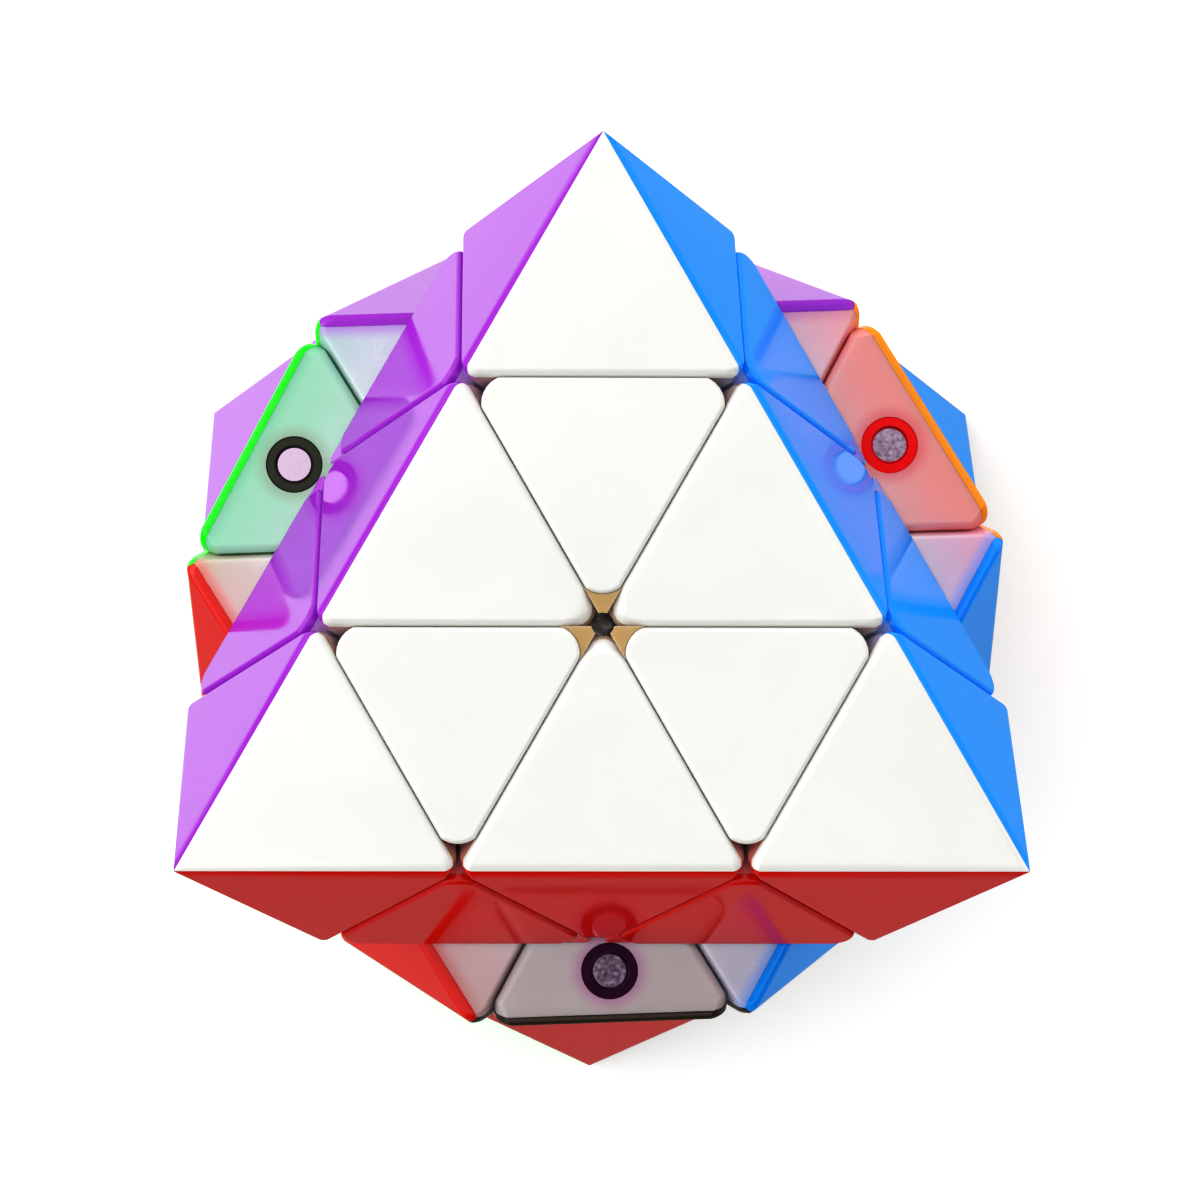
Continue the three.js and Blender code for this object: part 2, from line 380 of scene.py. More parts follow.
def combined(first, second, operation):
    """The mesh that a boolean operation makes of two meshes."""
    holders = [bpy.data.objects.new("operand", mesh) for mesh in (first, second)]
    for holder in holders:
        bpy.context.scene.collection.objects.link(holder)
    modifier = holders[0].modifiers.new("boolean", "BOOLEAN")
    modifier.operation = operation
    modifier.solver = "EXACT"
    modifier.object = holders[1]
    evaluated = holders[0].evaluated_get(bpy.context.evaluated_depsgraph_get())
    result = bpy.data.meshes.new_from_object(evaluated)
    for holder in holders:
        bpy.data.objects.remove(holder)
    return result


def sphere_mesh(radius):
    """A ball at the centre of the puzzle, with its poles on the upward axis."""
    solid = bmesh.new()
    bmesh.ops.create_uvsphere(solid, u_segments=ROUND_STEPS, v_segments=ROUND_STEPS // 2, radius=radius)
    mesh = finished_mesh(solid, "sphere")
    mesh.transform(facing(UPWARDS))
    return mesh


def cylinder_mesh(radius, start, end, place):
    """A round bar along the Z axis of place, between two heights."""
    return lathe([(0, start), (radius, start), (radius, end), (0, end)], place)


def lathe(profile, place):
    """Turns a profile of (radius, height) points about the Z axis of place.

    The profile starts and ends on the axis, or closes on itself."""
    solid = bmesh.new()
    closed = profile[0][0] > 0
    rings = []
    for radius, height in profile:
        if radius == 0:
            rings.append([solid.verts.new((0, 0, height))])
            continue
        angles = [2 * math.pi * step / ROUND_STEPS for step in range(ROUND_STEPS)]
        points = [(radius * math.cos(angle), radius * math.sin(angle), height) for angle in angles]
        rings.append([solid.verts.new(point) for point in points])
    following = rings[1:] + rings[:1] if closed else rings[1:]
    for lower, upper in zip(rings, following):
        for step in range(ROUND_STEPS):
            after = (step + 1) % ROUND_STEPS
            corners = [lower[step % len(lower)], lower[after % len(lower)]]
            corners += [upper[after % len(upper)], upper[step % len(upper)]]
            solid.faces.new(list(dict.fromkeys(corners)))
    mesh = finished_mesh(solid, "turned")
    mesh.transform(place)
    return mesh


def join_rings(solid, lower, upper):
    """Adds the faces between two rings of the same number of points."""
    for step, after in zip(range(len(lower)), [*range(1, len(lower)), 0]):
        solid.faces.new((lower[step], lower[after], upper[after], upper[step]))


def facing(direction):
    """A turn that takes +Z to direction."""
    return direction.to_track_quat("Z", "Y").to_matrix().to_4x4()


# ---- The lattice: cells, layers and the turns that carry one piece to another ----


def half_spaces_of(layers, cut, gap=FLAT_GAP):
    """The half-spaces of a piece's cell, whose layers are parted by planes at a distance of cut.

    A half-space is a direction and the furthest distance along it that the solid reaches."""
    found = []
    for direction, layer in zip(DIRECTIONS, layers):
        for side in (1, -1):
            if layer == side:
                reach = FACE_DISTANCE
            elif layer == 0:
                reach = cut - gap / 2
            else:
                reach = -cut - gap / 2
            found.append((direction * side, reach))
    return found


def lattice_turns():
    """The 24 turns of the octahedron, each with where it takes the axes: (new axis, sign)."""
    turns = []
    for order in permutations(range(3)):
        for signs in product((1, -1), repeat=3):
            rows = [[signs[row] if order[row] == column else 0 for column in range(3)] for row in range(3)]
            turn = Matrix(rows)
            if turn.determinant() < 0:
                continue
            moved = []
            for direction in DIRECTIONS:
                along = [(turn @ direction).dot(other) for other in DIRECTIONS]
                target = max(range(4), key=lambda index: abs(along[index]))
                moved.append((target, 1 if along[target] > 0 else -1))
            turns.append((turn.to_4x4(), moved))
    return turns


TURNS = lattice_turns()


def turn_between(model, layers):
    """The turn that takes a modelled piece to its place, with where it takes the axes."""
    for turn, moved in TURNS:
        carried = [0] * 4
        for (target, sign), layer in zip(moved, model):
            carried[target] = sign * layer
        if tuple(carried) == tuple(layers):
            return turn, moved
    raise ValueError(f"no turn takes {model} to {layers}")


def outer_faces(kind, layers):
    """The (axis, side) of each face of the puzzle that a piece shows."""
    if kind == "triangle":
        side = 1 if layers.count(1) == 1 else -1
        return [(layers.index(side), side)]
    return [(index, layer) for index, layer in enumerate(layers) if layer != 0]


def colour_at(index, side):
    return AXES[index]["ends"][side]


def kind_of(layers):
    """The kind of piece in these layers, or None where the puzzle has none."""
    counts = (sum(layer != 0 for layer in layers), abs(sum(layers)))
    return {(4, 0): "corner", (2, 0): "edge", (3, 1): "triangle"}.get(counts)


def name_of(kind, layers):
    colours = [colour_at(*face) for face in outer_faces(kind, layers)]
    if kind == "triangle":
        return f"triangle_{colours[0]}_towards_{colour_at(layers.index(0), outer_faces(kind, layers)[0][1])}"
    return "_".join([kind, *colours])


def standing_matrix(layer):
    """Takes the lattice frame in millimetres to the row frame in metres, for a layer of the upward axis."""
    flat, rise = math.sqrt(2 / 3), math.sqrt(1 / 3)
    angles = [math.radians(azimuth) for azimuth in VERTEX_AZIMUTHS_DEG]
    rows = [[flat * math.cos(a) for a in angles], [flat * math.sin(a) for a in angles], [rise] * 3]
    turn = Matrix.Rotation(math.radians(SLICE_TURN_DEG), 4, "Z") if layer == 0 else Matrix.Identity(4)
    lift = Matrix.Translation((0, 0, FACE_DISTANCE))
    return Matrix.Scale(MM, 4) @ lift @ turn @ Matrix(rows).to_4x4()


# ---- Rounded bodies: flat cells whose edges and tips are trimmed by tangent planes ----


def tangents(first, second, radius, steps):
    """Half-spaces that round the edge between two half-spaces to a radius."""
    (direction_a, reach_a), (direction_b, reach_b) = first, second
    cosine = direction_a.dot(direction_b)
    angle = math.acos(cosine)
    found = []
    for step in range(1, steps + 1):
        share = step / (steps + 1)
        weight_a = math.sin((1 - share) * angle) / math.sin(angle)
        weight_b = math.sin(share * angle) / math.sin(angle)
        direction = direction_a * weight_a + direction_b * weight_b
        reach = weight_a * (reach_a - radius) + weight_b * (reach_b - radius) + radius
        found.append((direction, reach))
    return found


def cell_edges(half_spaces):
    """The pairs of half-spaces that meet in an edge of the cell, as indices, and the cell's vertices."""
    solid = solid_between(half_spaces)
    solid.normal_update()

    def plane_of(face):
        return max(range(len(half_spaces)), key=lambda index: half_spaces[index][0].dot(face.normal))

    pairs = {tuple(sorted(plane_of(face) for face in edge.link_faces)) for edge in solid.edges}
    corners = [vertex.co.copy() for vertex in solid.verts]
    solid.free()
    return pairs, corners


def tip_planes(corner, centre, radius):
    """Half-spaces that touch a ball in the tip of an octahedral cell, and so round the tip."""
    along = (corner - centre).normalized()
    ball = corner - along * radius * math.sqrt(3)
    place = facing(along)
    found = [(along, ball.dot(along) + radius)]
    for tilt_deg, count in TIP_RINGS:
        for step in range(count):
            lean = Euler((0, math.radians(tilt_deg), 2 * math.pi * step / count))
            direction = place @ lean.to_matrix().to_4x4() @ Vector((0, 0, 1))
            found.append((direction, ball.dot(direction) + radius))
    return found


def tip_radius(corner):
    if corner.length > VERTEX_RADIUS - NEAR_VERTEX:
        return VERTEX_TIP_RADIUS
    to_axis = min(corner.cross(direction).length for direction in DIRECTIONS)
    reach = max(abs(corner.dot(direction)) for direction in DIRECTIONS)
    central = to_axis < NEAR_FACE_CENTRE and reach > FACE_DISTANCE - NEAR_FACE_CENTRE
    return FACE_CENTRE_TIP_RADIUS if central else TIP_RADIUS


def rounded_half_spaces(kind):
    """The half-spaces of a piece's base, and those of its shells."""
    if kind == "triangle":
        base, outline, borders = triangle_half_spaces()
        return base, outline + borders
    layers = MODEL_LAYERS[kind]
    planes = half_spaces_of(layers, OUTER_CUT, OUTER_GAP)
    shown = [2 * index + (0 if side == 1 else 1) for index, side in outer_faces(kind, layers)]
    pairs, corners = cell_edges(planes)
    found = list(planes)
    for first, second in pairs:
        outers = (first in shown) + (second in shown)
        radius = (WALL_RADIUS, BORDER_RADIUS, RIDGE_RADIUS)[outers]
        found += tangents(planes[first], planes[second], radius, FILLET_STEPS)
    centre = sum(corners, Vector()) / len(corners)
    for corner in corners:
        found += tip_planes(corner, centre, tip_radius(corner))
    return found, found


def triangle_half_spaces():
    """The half-spaces of a triangle's base, of its shell's outline and of the shell's rounded border.

    The shell has rounder corners than the base, whose inner tip shows beyond it."""
    layers = MODEL_LAYERS["triangle"]
    planes = half_spaces_of(layers, OUTER_CUT, OUTER_GAP)
    ((index, side),) = outer_faces("triangle", layers)
    outer = 2 * index + (0 if side == 1 else 1)
    pairs, _ = cell_edges(planes)
    base = list(planes)
    walls = []
    for first, second in pairs:
        if outer in (first, second):
            continue
        inner = layers[first // 2] and layers[second // 2]
        radius = TRIANGLE_INNER_RADIUS if inner else TRIANGLE_WALL_RADIUS
        base += tangents(planes[first], planes[second], radius, FILLET_STEPS)
        corner = outline_corner(planes[outer], planes[first], planes[second])
        if not inner:
            base += corner
        walls += [planes[first], planes[second], *corner]
    borders = []
    for wall in walls:
        borders += tangents(planes[outer], wall, TRIANGLE_BORDER_RADIUS, FILLET_STEPS)
    return base, base + walls, borders


def outline_corner(outer, first, second):
    """Half-spaces square to an outer face that round one corner of its outline."""
    normals = [direction for direction, _ in (outer, first, second)]
    corner = Matrix(normals).inverted() @ Vector([reach for _, reach in (outer, first, second)])
    sides = []
    for direction in normals[1:]:
        sideways = (direction - normals[0] * direction.dot(normals[0])).normalized()
        sides.append((sideways, sideways.dot(corner)))
    return tangents(*sides, TRIANGLE_CORNER_RADIUS, CORNER_STEPS)


# ---- Bases, shells and magnets of the three kinds ----

FOOT_ZONE = {"cut": MIDDLE_CUT, "inner": CAP_TOP_RADIUS + STEP_GAP, "outer": FOOT_TOP_RADIUS}
EDGE_NECK_ZONE = {"cut": MIDDLE_CUT, "inner": EDGE_FOOT_TOP_RADIUS + STEP_GAP, "outer": FOOT_TOP_RADIUS}
EDGE_FOOT_ZONE = {"cut": INNER_CUT, "inner": EDGE_FOOT_BASE_RADIUS, "outer": EDGE_FOOT_TOP_RADIUS}
FEET = {"corner": [FOOT_ZONE], "edge": [EDGE_FOOT_ZONE, EDGE_NECK_ZONE], "triangle": [FOOT_ZONE]}


def zone_mesh(half_spaces, inner, outer):
    """The part of a cell between two spheres."""
    mesh = finished_mesh(solid_between(half_spaces), "zone")
    mesh = combined(mesh, sphere_mesh(outer), "INTERSECT")
    return combined(mesh, sphere_mesh(inner), "DIFFERENCE")


def base_mesh(kind, half_spaces):
    """The rounded body under the shells, with its foot and with pockets for its magnets."""
    layers = MODEL_LAYERS[kind]
    depth = INNER_TIP_DEPTH if kind == "triangle" else SHELL_DEPTH
    solid = solid_between(half_spaces)
    for index, side in outer_faces(kind, layers):
        cut_away(solid, DIRECTIONS[index] * side, FACE_DISTANCE - depth)
    mesh = finished_mesh(solid, "base")
    if kind == "triangle":
        mesh = combined(mesh, triangle_recess_mesh(), "DIFFERENCE")
    mesh = combined(mesh, sphere_mesh(FOOT_TOP_RADIUS + STEP_GAP), "DIFFERENCE")
    zones = FEET[kind]
    for index, zone in enumerate(zones):
        cell = half_spaces_of(layers, zone["cut"])
        mesh = combined(mesh, zone_mesh(cell, zone["inner"], zone["outer"]), "UNION")
        step = zone["outer"]
        above = half_spaces_of(layers, zones[index + 1]["cut"] if index + 1 < len(zones) else OUTER_CUT)
        shared = [(direction, min(reach, other)) for (direction, reach), (_, other) in zip(cell, above)]
        neck = zone_mesh(shared, step - STEP_OVERLAP, step + STEP_GAP + STEP_OVERLAP)
        mesh = combined(mesh, neck, "UNION")
    for index, side in outer_faces(kind, layers):
        place = facing(DIRECTIONS[index] * side)
        hole = cylinder_mesh(FACE_HOLE_RADIUS, FOOT_TOP_RADIUS, VERTEX_RADIUS, place)
        mesh = combined(mesh, hole, "DIFFERENCE")
    for place in magnet_places(kind):
        pocket = cylinder_mesh(RING_RADIUS + FIT, -RING_HEIGHT - RING_SINK - FIT, POCKET_CLEARANCE, place)
        mesh = combined(mesh, pocket, "DIFFERENCE")
    return mesh


def triangle_recess_mesh():
    """The room for a triangle's shell. The tip of the base stands up beside the shell's rounded corner."""
    _, outline, _ = triangle_half_spaces()
    ((index, side),) = outer_faces("triangle", MODEL_LAYERS["triangle"])
    recess = [(direction, reach + FIT) for direction, reach in outline]
    recess.append((-DIRECTIONS[index] * side, -(FACE_DISTANCE - SHELL_DEPTH)))
    return finished_mesh(solid_between(recess), "recess")


def shell_mesh(kind, half_spaces, face):
    """One coloured shell: the skin of the rounded body behind a face. Two shells meet in a mitre."""
    index, side = face
    towards = DIRECTIONS[index] * side
    solid = solid_between(half_spaces)
    cut_away(solid, -towards, -(FACE_DISTANCE - SHELL_DEPTH + FIT))
    for other in outer_faces(kind, MODEL_LAYERS[kind]):
        if other != face:
            across = (DIRECTIONS[other[0]] * other[1] - towards).normalized()
            cut_away(solid, across, -SEAM / 2)
    return finished_mesh(solid, "shell")


def magnet_places(kind):
    """Matrices whose Z axis stands out of each magnet's facet, with their origin on the facet."""
    layers = MODEL_LAYERS[kind]
    if kind == "corner":
        owner = layers
        facets = [(index, -1) for index in range(4)]
    elif kind == "triangle":
        balance = -sum(layers)
        owner = tuple(layer or balance for layer in layers)
        facets = [(layers.index(0), 1)]
    else:
        return []
    vertex = sum((direction * side for direction, side in zip(DIRECTIONS, owner)), Vector()).normalized()
    places = []
    for index, towards in facets:
        side = DIRECTIONS[index] * owner[index]
        outward = (vertex - side * vertex.dot(side)).normalized()
        point = vertex * VERTEX_RADIUS * 2 / 3 - side * (OUTER_CUT + towards * OUTER_GAP / 2)
        point += outward * MAGNET_OFFSET
        places.append(Matrix.Translation(point) @ facing(side * towards))
    return places


def ring_profile():
    """Heights are from the facet that the ring and its magnet are sunk in."""
    top, inner = -RING_SINK, MAGNET_RADIUS + FIT
    return [
        (inner, top - RING_HEIGHT),
        (RING_RADIUS, top - RING_HEIGHT),
        (RING_RADIUS, top - RING_CHAMFER),
        (RING_RADIUS - RING_CHAMFER, top),
        (inner + RING_CHAMFER, top),
        (inner, top - RING_CHAMFER),
    ]


def magnet_profile():
    top = -MAGNET_SINK
    base = top - MAGNET_HEIGHT
    near = MAGNET_RADIUS - MAGNET_CHAMFER
    return [
        (0, base),
        (near, base),
        (MAGNET_RADIUS, base + MAGNET_CHAMFER),
        (MAGNET_RADIUS, top - MAGNET_CHAMFER),
        (near, top),
        (0, top),
    ]


def joined(meshes):
    """One mesh of several, which stay apart."""
    solid = bmesh.new()
    for mesh in meshes:
        solid.from_mesh(mesh)
    whole = bpy.data.meshes.new("joined")
    solid.to_mesh(whole)
    solid.free()
    return whole


# ---- Materials ----


def new_material(name):
    material = bpy.data.materials.new(name)
    material.use_nodes = True
    tree = material.node_tree
    return material, tree, tree.nodes["Principled BSDF"]


def add_node(tree, kind, inputs=None, **settings):
    """A shader node. Each input is a socket to link to or a plain value."""
    node = tree.nodes.new(kind)
    for key, value in settings.items():
        setattr(node, key, value)
    for key, value in (inputs or {}).items():
        if isinstance(value, bpy.types.NodeSocket):
            tree.links.new(value, node.inputs[key])
        else:
            node.inputs[key].default_value = value
    return node


def object_place(tree):
    return add_node(tree, "ShaderNodeTexCoord").outputs["Object"]


def noise(tree, place, feature_mm, detail=2.0, distortion=0.0):
    scale = 1 / (feature_mm * MM)
    inputs = {"Vector": place, "Scale": scale, "Detail": detail, "Distortion": distortion}
    return add_node(tree, "ShaderNodeTexNoise", inputs).outputs["Fac"]


def ranged(tree, value, span, levels, smooth=False):
    """Takes a value from one level at the start of a span to another at its end, and holds it beyond."""
    (start, end), (low, high) = span, levels
    inputs = {"Value": value, "From Min": start, "From Max": end, "To Min": low, "To Max": high}
    kind = "SMOOTHSTEP" if smooth else "LINEAR"
    return add_node(tree, "ShaderNodeMapRange", inputs, interpolation_type=kind).outputs["Result"]


def dotted(tree, first, second):
    inputs = {0: first, 1: second}
    return add_node(tree, "ShaderNodeVectorMath", inputs, operation="DOT_PRODUCT").outputs["Value"]


def multiplied(tree, first, second):
    return add_node(tree, "ShaderNodeMath", {0: first, 1: second}, operation="MULTIPLY").outputs[0]


def added(tree, first, second):
    return add_node(tree, "ShaderNodeMath", {0: first, 1: second}, operation="ADD").outputs[0]


def blended(tree, factor, first, second):
    node = add_node(tree, "ShaderNodeMix", data_type="RGBA")
    sockets = {item.identifier: item for item in node.inputs}
    wanted = {"Factor_Float": factor, "A_Color": first, "B_Color": second}
    for key, value in wanted.items():
        if isinstance(value, bpy.types.NodeSocket):
            tree.links.new(value, sockets[key])
        elif isinstance(value, tuple):
            sockets[key].default_value = (*value, 1)
        else:
            sockets[key].default_value = value
    return next(item for item in node.outputs if item.identifier == "Result_Color")


def bump(tree, shader, height, depth_mm):
    inputs = {"Height": height, "Distance": depth_mm * MM, "Strength": 1.0}
    tree.links.new(add_node(tree, "ShaderNodeBump", inputs).outputs["Normal"], shader.inputs["Normal"])


def shaded(colour, share):
    return tuple(min(1.0, channel * share) for channel in colour)


def toned(tree, factor, colour, tones):
    """A colour that moves between two shades of itself."""
    return blended(tree, factor, *[shaded(colour, tone) for tone in tones])


def shell_material(name, colour):
    """Polished moulded plastic: faint flow in the colour, a little haze in the gloss and shallow waves."""
    material, tree, shader = new_material(name)
    finish = SHELL_FINISH
    place = object_place(tree)
    flow = noise(tree, place, *finish["flow"])
    tree.links.new(toned(tree, flow, colour, finish["tones"]), shader.inputs["Base Color"])
    haze = noise(tree, place, *finish["haze"])
    roughness = ranged(tree, haze, finish["haze_span"], finish["roughness"])
    tree.links.new(roughness, shader.inputs["Roughness"])
    shader.inputs["IOR"].default_value = finish["ior"]
    bump(tree, shader, noise(tree, place, *finish["waves"]), finish["wave_depth"])
    return material


def milky_material(name, kind, painted_lights, halos):
    """Translucent undyed plastic, with light and shade painted into its colour: the coloured light that the
    shells near it let through, painted shade behind the white and black shells, and a painted glow round
    each ring.

    A painted light is (a shell's painted light and shade, direction of the face, distance of the face), and
    a halo is (colour, centre)."""
    material, tree, shader = new_material(name)
    finish = MILKY_FINISH
    place = object_place(tree)
    cloud = noise(tree, place, *finish["cloud"])
    colour = toned(tree, cloud, finish["colour"], finish["tones"])
    if kind == "edge":
        colour = blended(tree, streaks(tree, place), colour, STREAKS["colour"])
    painted_reach, share = PAINTED_LIGHT_REACHES[kind]
    # Painted light from each shell, and painted shade behind the white and black shells: weak all through
    # the piece, stronger close to the shell and full on the inner tip
    for (tint, through, near), direction, reach in painted_lights:
        along = dotted(tree, place, direction)
        start = reach - SHELL_DEPTH * MM
        deep = ranged(tree, along, (start - painted_reach * MM, start), (0.0, through * share), True)
        colour = blended(tree, deep, colour, tint)
        close = ranged(tree, along, (start - PAINTED_LIGHT_EDGE * MM, start), (0.0, near), True)
        colour = blended(tree, close, colour, tint)
        tip = ranged(tree, along, (start, reach - INNER_TIP_DEPTH * MM), (0.0, 1.0))
        colour = blended(tree, tip, colour, tint)
    # Painted glow of each magnet ring in the milky plastic round it
    for tint, point in halos:
        inputs = {0: place, 1: point}
        away = add_node(tree, "ShaderNodeVectorMath", inputs, operation="DISTANCE").outputs["Value"]
        span = (RING_RADIUS * MM, (RING_RADIUS + HALO_REACH) * MM)
        colour = blended(tree, ranged(tree, away, span, (HALO_STRENGTH, 0.0), True), colour, tint)
    tree.links.new(colour, shader.inputs["Base Color"])
    roughness = ranged(tree, cloud, finish["cloud_span"], finish["roughness"])
    tree.links.new(roughness, shader.inputs["Roughness"])
    shader.inputs["IOR"].default_value = finish["ior"]
    shader.inputs["Subsurface Weight"].default_value = finish["subsurface"]
    shader.inputs["Subsurface Radius"].default_value = finish["subsurface_radius"]
    shader.inputs["Subsurface Scale"].default_value = finish["subsurface_mm"] * MM
    bump(tree, shader, noise(tree, place, *finish["grain"]), finish["grain_depth"])
    return material


def streaks(tree, place):
    """How strongly the white streaks show at a place."""
    flow = noise(tree, place, *STREAKS["flow"])
    rise = ranged(tree, flow, STREAKS["rise"], (0, 1), True)
    fall = ranged(tree, flow, STREAKS["fall"], (1, 0), True)
    patches = noise(tree, place, *STREAKS["patches"])
    strength = ranged(tree, patches, STREAKS["patch_span"], (0.0, STREAKS["strength"]), True)
    return multiplied(tree, multiplied(tree, rise, fall), strength)


def metal_material(name):
    """Plated or machined metal with fine grain in its gloss."""
    material, tree, shader = new_material(name)
    metal, finish = METALS[name], METAL_FINISH
    grain = noise(tree, object_place(tree), metal["grain_mm"], finish["detail"])
    tree.links.new(toned(tree, grain, metal["colour"], finish["tones"]), shader.inputs["Base Color"])
    roughness = ranged(tree, grain, finish["grain_span"], metal["roughness"])
    tree.links.new(roughness, shader.inputs["Roughness"])
    shader.inputs["Metallic"].default_value = 1.0
    bump(tree, shader, grain, finish["grain_depth"])
    return material


def core_material(name):
    """Unpolished moulded plastic of the hidden mechanism, with fine grain."""
    material, tree, shader = new_material(name)
    finish = CORE_FINISH
    place = object_place(tree)
    cloud = noise(tree, place, *finish["cloud"])
    tree.links.new(toned(tree, cloud, finish["colour"], finish["tones"]), shader.inputs["Base Color"])
    roughness = ranged(tree, cloud, finish["cloud_span"], finish["roughness"])
    tree.links.new(roughness, shader.inputs["Roughness"])
    bump(tree, shader, noise(tree, place, *finish["grain"]), finish["grain_depth"])
    return material


# ---- Placing pieces ----


def show(name, mesh, matrix, material, body):
    """Places a copy of a mesh as a visible piece that rides on a body."""
    placed = mesh.copy()
    placed.name = name
    placed.transform(matrix)
    if matrix.determinant() < 0:
        placed.flip_normals()
    placed.materials.clear()
    placed.materials.append(material)
    placed.polygons.foreach_set("use_smooth", [True] * len(placed.polygons))
    placed.set_sharp_from_angle(angle=math.radians(SHARP_ANGLE_DEG))
    piece = bpy.data.objects.new(name, placed)
    bpy.context.scene.collection.objects.link(piece)
    weighted = piece.modifiers.new("weighted_normals", "WEIGHTED_NORMAL")
    weighted.keep_sharp = True
    weighted.weight = NORMAL_WEIGHT
    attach(piece, body)
    return piece


SHELL_MATERIALS = {
    name: shell_material(f"{name}_plastic", colour) for name, colour in SHELL_COLOURS.items()
}
RING_MATERIALS = {
    name: shell_material(f"{name}_ring_plastic", colour) for name, colour in RING_COLOURS.items()
}
MAGNET_MATERIAL = metal_material("magnet_nickel_plate")
STEEL_MATERIAL = metal_material("screw_steel_plate")
SPRING_MATERIAL = metal_material("spring_steel_wire")
CORE_MATERIAL = core_material("core_plastic_grey")


def build_pieces():
    """The 42 outer pieces, each a copy of the model of its kind."""
    models = {}
    for kind, layers in MODEL_LAYERS.items():
        base_spaces, shell_spaces = rounded_half_spaces(kind)
        faces = outer_faces(kind, layers)
        models[kind] = {
            "base": base_mesh(kind, base_spaces),
            "shells": {face: shell_mesh(kind, shell_spaces, face) for face in faces},
            "magnets": joined([lathe(magnet_profile(), place) for place in magnet_places(kind)]),
            "rings": joined([lathe(ring_profile(), place) for place in magnet_places(kind)]),
        }
    for layers in product((1, 0, -1), repeat=4):
        kind = kind_of(layers)
        if kind:
            build_piece(kind, layers, models[kind])


def build_piece(kind, layers, model):
    name = name_of(kind, layers)
    body = frame["nodes"][name]["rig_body"]
    turn, moved = turn_between(MODEL_LAYERS[kind], layers)
    matrix = standing_matrix(layers[0]) @ turn
    # Painted light, and painted shade for the white and black shells, that each shell gives the milky
    # plastic
    painted_lights = []
    for (index, side), mesh in model["shells"].items():
        target, sign = moved[index]
        colour = colour_at(target, side * sign)
        show(f"{name}_shell_{colour}", mesh, matrix, SHELL_MATERIALS[colour], body)
        direction = (matrix.to_3x3() @ (DIRECTIONS[index] * side)).normalized()
        reach = direction.dot(matrix @ (DIRECTIONS[index] * side * FACE_DISTANCE))
        painted_lights.append((PAINTED_LIGHT_AND_SHADE[colour], direction, reach))
    first_colour = colour_at(*outer_faces(kind, layers)[0])
    # A painted glow round each magnet ring
    halos = []
    if kind != "edge":
        halos = [(HALO_COLOURS[first_colour], matrix @ place.translation) for place in magnet_places(kind)]
        show(f"{name}_magnets", model["magnets"], matrix, MAGNET_MATERIAL, body)
        show(f"{name}_rings", model["rings"], matrix, RING_MATERIALS[first_colour], body)
    milky = milky_material(f"{name}_milky", kind, painted_lights, halos)
    base = show(f"{name}_base", model["base"], matrix, milky, body)
    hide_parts(name)


# ---- Screws, springs, washers, caps and core ----


def screw_mesh():
    """A screw along the Z axis, with its head away from the centre of the puzzle."""
    top = HEAD_BASE_DISTANCE + HEAD_THICKNESS
    profile = [(0, SCREW_TIP_DISTANCE)]
    height = SCREW_TIP_DISTANCE + SCREW_RADIUS / 2
    while height < THREAD_END_DISTANCE:
        profile.append((SCREW_RADIUS - THREAD_DEPTH, height))
        profile.append((SCREW_RADIUS, height + THREAD_PITCH / 2))
        height += THREAD_PITCH
    profile += [(SCREW_RADIUS, HEAD_BASE_DISTANCE), (HEAD_RADIUS, HEAD_BASE_DISTANCE)]
    for step in range(HEAD_STEPS + 1):
        angle = math.pi / 2 * step / HEAD_STEPS
        radius = HEAD_RADIUS - HEAD_ROUNDING * (1 - math.cos(angle))
        profile.append((radius, top - HEAD_ROUNDING * (1 - math.sin(angle))))
    profile.append((0, top))
    return combined(lathe(profile, Matrix.Identity(4)), cross_mesh(top), "DIFFERENCE")


def cross_mesh(top):
    """A cross-shaped bar, which cuts the recess of a screw head."""
    near, far = CROSS_WIDTH / 2, CROSS_LENGTH / 2
    solid = bmesh.new()
    rings = []
    for height in (top - CROSS_DEPTH, top + CROSS_DEPTH):
        ring = []
        for quarter in range(4):
            turn = Matrix.Rotation(math.pi / 2 * quarter, 4, "Z")
            for x, y in ((near, near), (near, far), (-near, far)):
                ring.append(solid.verts.new(turn @ Vector((x, y, height))))
        solid.faces.new(ring)
        rings.append(ring)
    join_rings(solid, *rings)
    return finished_mesh(solid, "cross")


def spring_mesh():
    """A round wire wound about the Z axis between the cap's pocket and the washer."""
    solid = bmesh.new()
    length = HEAD_BASE_DISTANCE - WASHER_THICKNESS - SPRING_BASE_DISTANCE - 2 * SPRING_WIRE_RADIUS - 2 * FIT
    steps = SPRING_TURNS * SPRING_TURN_STEPS
    rings = []
    for step in range(steps + 1):
        share = step / steps
        angle = 2 * math.pi * SPRING_TURNS * share
        out = Vector((math.cos(angle), math.sin(angle), 0))
        lift = SPRING_BASE_DISTANCE + SPRING_WIRE_RADIUS + FIT + length * share
        centre = out * SPRING_COIL_RADIUS + Vector((0, 0, lift))
        ring = []
        for side in range(SPRING_WIRE_SIDES):
            turn = 2 * math.pi * side / SPRING_WIRE_SIDES
            offset = out * math.cos(turn) + Vector((0, 0, math.sin(turn)))
            ring.append(solid.verts.new(centre + offset * SPRING_WIRE_RADIUS))
        rings.append(ring)
    for lower, upper in zip(rings, rings[1:]):
        join_rings(solid, lower, upper)
    solid.faces.new(rings[0])
    solid.faces.new(rings[-1])
    return finished_mesh(solid, "spring")


def washer_mesh():
    top = HEAD_BASE_DISTANCE - FIT
    base = top - WASHER_THICKNESS
    inner, outer = WASHER_HOLE_RADIUS, WASHER_RADIUS
    profile = [(inner, base), (outer, base), (outer, top), (inner, top)]
    return lathe(profile, Matrix.Identity(4))


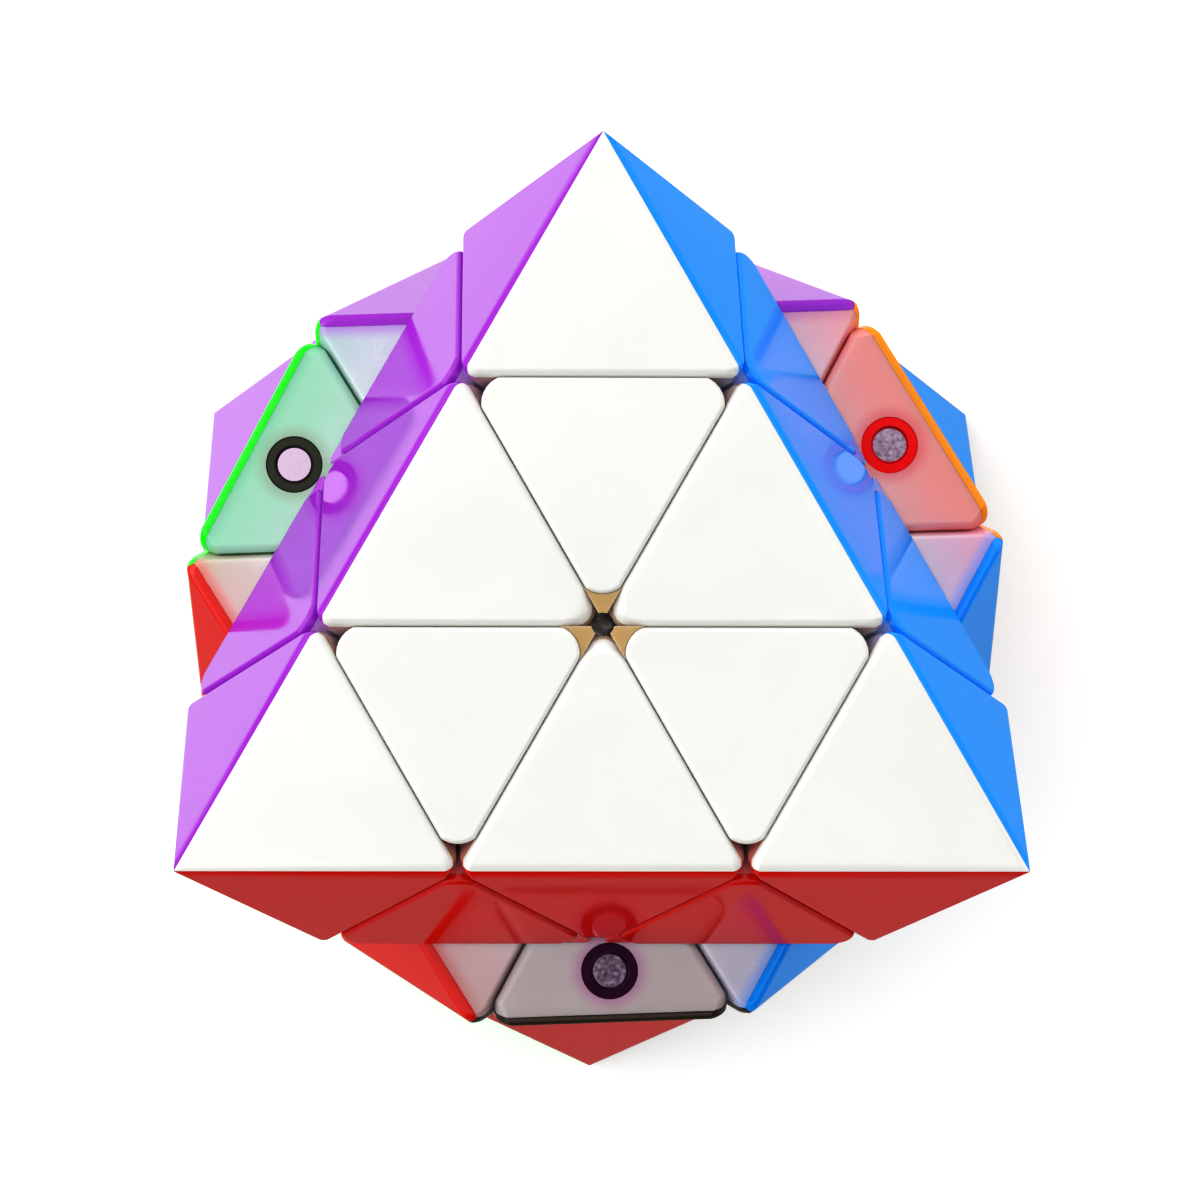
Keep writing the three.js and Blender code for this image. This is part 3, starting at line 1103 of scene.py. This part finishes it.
def build_mechanism():
    """A screw, a spring and a washer on each arm of the core. Caps and core keep their CAD solids."""
    screw, spring, washer = screw_mesh(), spring_mesh(), washer_mesh()
    for axis, direction in zip(AXES, DIRECTIONS):
        for side, colour in axis["ends"].items():
            matrix = standing_matrix(0) @ facing(direction * side)
            node = f"screw_{colour}"
            body = frame["nodes"][node]["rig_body"]
            fine = show(f"{node}_threaded", screw, matrix, STEEL_MATERIAL, body)
            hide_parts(node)
            show(f"spring_{colour}", spring, matrix, SPRING_MATERIAL, body)
            show(f"washer_{colour}", washer, matrix, STEEL_MATERIAL, body)
            paint(frame["nodes"][f"face_cap_{colour}"], CORE_MATERIAL)
    paint(frame["nodes"]["core_spider"], CORE_MATERIAL)


def paint(node, material):
    node.data.materials.clear()
    node.data.materials.append(material)


# ---- Floor, light and camera ----


def build_floor():
    """Pale glowing paper. The gloss of the puzzle shows the dimmer ground of the world instead of it."""
    mesh = bpy.data.meshes.new("floor")
    reach, level = FLOOR_REACH, cad_low.z - FLOOR_DROP * MM
    signs = ((-1, -1), (1, -1), (1, 1), (-1, 1))
    corners = [(reach * x, reach * y, level) for x, y in signs]
    mesh.from_pydata(corners, [], [(0, 1, 2, 3)])
    material, tree, shader = new_material("pale_paper")
    place = object_place(tree)
    tint = blended(tree, noise(tree, place, *PAPER_FINISH["mottle"]), *PAPER_FINISH["tones"])
    tree.links.new(tint, shader.inputs["Base Color"])
    shader.inputs["Roughness"].default_value = PAPER_FINISH["roughness"]
    shader.inputs["Emission Color"].default_value = (1, 1, 1, 1)
    shader.inputs["Emission Strength"].default_value = FLOOR_GLOW
    mesh.materials.append(material)
    floor = bpy.data.objects.new("floor", mesh)
    floor.visible_glossy = False
    bpy.context.scene.collection.objects.link(floor)


def build_world():
    """A white tent, open and dark in front, with a lamp behind its left side and a hole for the camera.

    Below it lies a dim ground, with a brighter patch where light bounces."""
    world = bpy.data.worlds.new("tent")
    bpy.context.scene.world = world
    world.use_nodes = True
    tree = world.node_tree
    direction = add_node(tree, "ShaderNodeTexCoord").outputs["Generated"]
    wall = spot(tree, direction, FRONT, FRONT_EDGE_DEG, TENT_LIGHT, FRONT_LIGHT)
    lamp = spot(tree, direction, LAMP, LAMP_EDGE_DEG, 0.0, LAMP_LIGHT)
    opening = spot(tree, direction, OPENING, OPENING_EDGE_DEG, 1.0, OPENING_LIGHT)
    above = spot(tree, direction, GROUND, GROUND_EDGE_DEG, 1.0, 0.0)
    ground = spot(tree, direction, GROUND, GROUND_EDGE_DEG, 0.0, GROUND_LIGHT)
    bounce = spot(tree, direction, BOUNCE, BOUNCE_EDGE_DEG, 0.0, BOUNCE_LIGHT)
    lit = multiplied(tree, multiplied(tree, added(tree, wall, lamp), opening), above)
    below = added(tree, ground, bounce)
    tree.links.new(added(tree, lit, below), tree.nodes["Background"].inputs["Strength"])
    tree.nodes["Background"].inputs["Color"].default_value = TENT_COLOUR


def spot(tree, direction, centre, edge_deg, outside, inside):
    """A round patch of the world with a soft edge, which has one level inside it and another outside."""
    near, far = [math.cos(math.radians(angle)) for angle in edge_deg]
    along = dotted(tree, direction, Vector(centre).normalized())
    return ranged(tree, along, (far, near), (outside, inside), True)


def build_key_light():
    """A square softbox that faces the puzzle."""
    light = bpy.data.lights.new("key_softbox", "AREA")
    light.shape = "SQUARE"
    light.size = KEY_SIZE * MM
    light.energy = KEY_WATTS
    softbox = bpy.data.objects.new("key_softbox", light)
    softbox.location = Vector(KEY_PLACE) * MM
    softbox.rotation_euler = (-softbox.location).to_track_quat("-Z", "Y").to_euler()
    bpy.context.scene.collection.objects.link(softbox)


def build_camera():
    data = bpy.data.cameras.new("camera")
    data.sensor_width = CAMERA_SENSOR
    data.lens = CAMERA_LENS
    camera = bpy.data.objects.new("camera", data)
    camera.location = Vector(CAMERA_PLACE) * MM
    camera.rotation_euler = [math.radians(angle) for angle in CAMERA_TILT_DEG]
    bpy.context.scene.collection.objects.link(camera)
    bpy.context.scene.camera = camera


def develop():
    """Plain display colours, with a short toe in their curve that deepens the darkest tones."""
    settings = bpy.context.scene.view_settings
    settings.view_transform = "Standard"
    settings.use_curve_mapping = True
    curve = settings.curve_mapping.curves[COMBINED_CURVE]
    for point in TONE_POINTS:
        curve.points.new(*point)
    settings.curve_mapping.update()


build_camera()
build_pieces()
build_mechanism()
build_floor()
build_world()
build_key_light()
develop()
